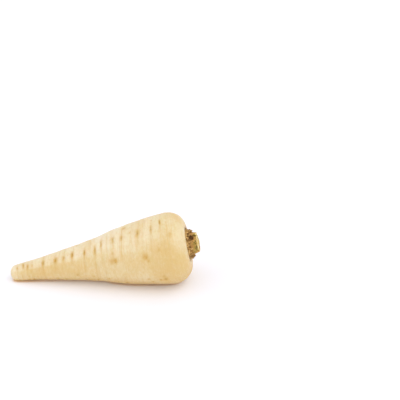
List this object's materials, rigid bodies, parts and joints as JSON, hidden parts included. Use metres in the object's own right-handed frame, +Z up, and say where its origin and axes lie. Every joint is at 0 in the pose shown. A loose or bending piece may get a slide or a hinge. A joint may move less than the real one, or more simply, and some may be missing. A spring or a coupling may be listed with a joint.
{
  "type": "parsnip",
  "caption": "Raw parsnip lying on its side, a cream tapered root with ring marks and rootlet scars, a brown scaly collar and a short cut bundle of green leaf stalks.",
  "frame": {"origin": "middle of the bounding box, on the surface that the parsnip lies on", "axes": "+X along the root towards the crown, +Z up from the surface it lies on"},
  "size_m": [0.1374, 0.0516, 0.0519],
  "materials": {
    "root_skin": "satin",
    "dry_scale": "matte",
    "leaf_stalk": "matte"
  },
  "bodies": {
    "root": {"taproot": "root_skin", "dry_leaf_bases": "dry_scale", "leaf_stalk_stubs": "leaf_stalk"}
  },
  "joints": []
}
